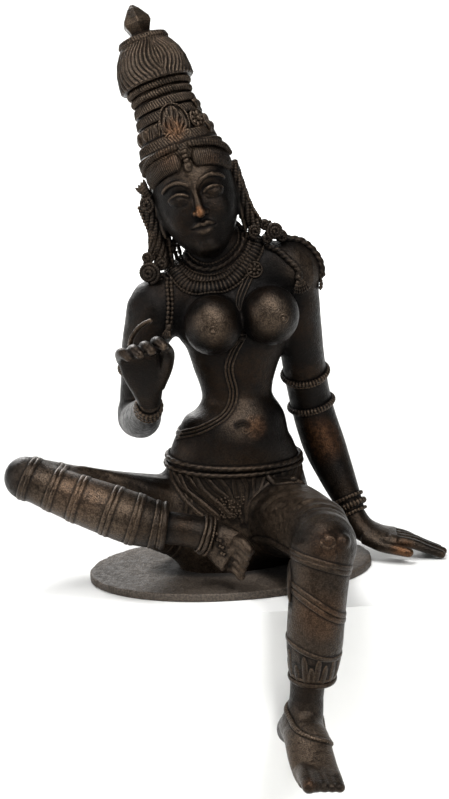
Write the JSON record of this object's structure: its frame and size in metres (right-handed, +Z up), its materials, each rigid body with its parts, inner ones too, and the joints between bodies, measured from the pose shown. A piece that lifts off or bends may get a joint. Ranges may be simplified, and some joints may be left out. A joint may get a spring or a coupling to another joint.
{
  "type": "seated goddess figure",
  "caption": "Cast bronze goddess seated on a thin oval plate, one leg folded and one hanging, one hand raised, the other leaning beside the plate, with a tall tiered crown.",
  "frame": {"origin": "middle of the seat plate's flat underside, where it rests on a ledge", "axes": "+Z up, the figure faces -Y, +X is the side of its own left hand"},
  "size_m": [0.1633, 0.1406, 0.2659],
  "materials": {
    "bronze": null
  },
  "bodies": {
    "root": {"parvati_figure": "bronze"}
  },
  "joints": []
}
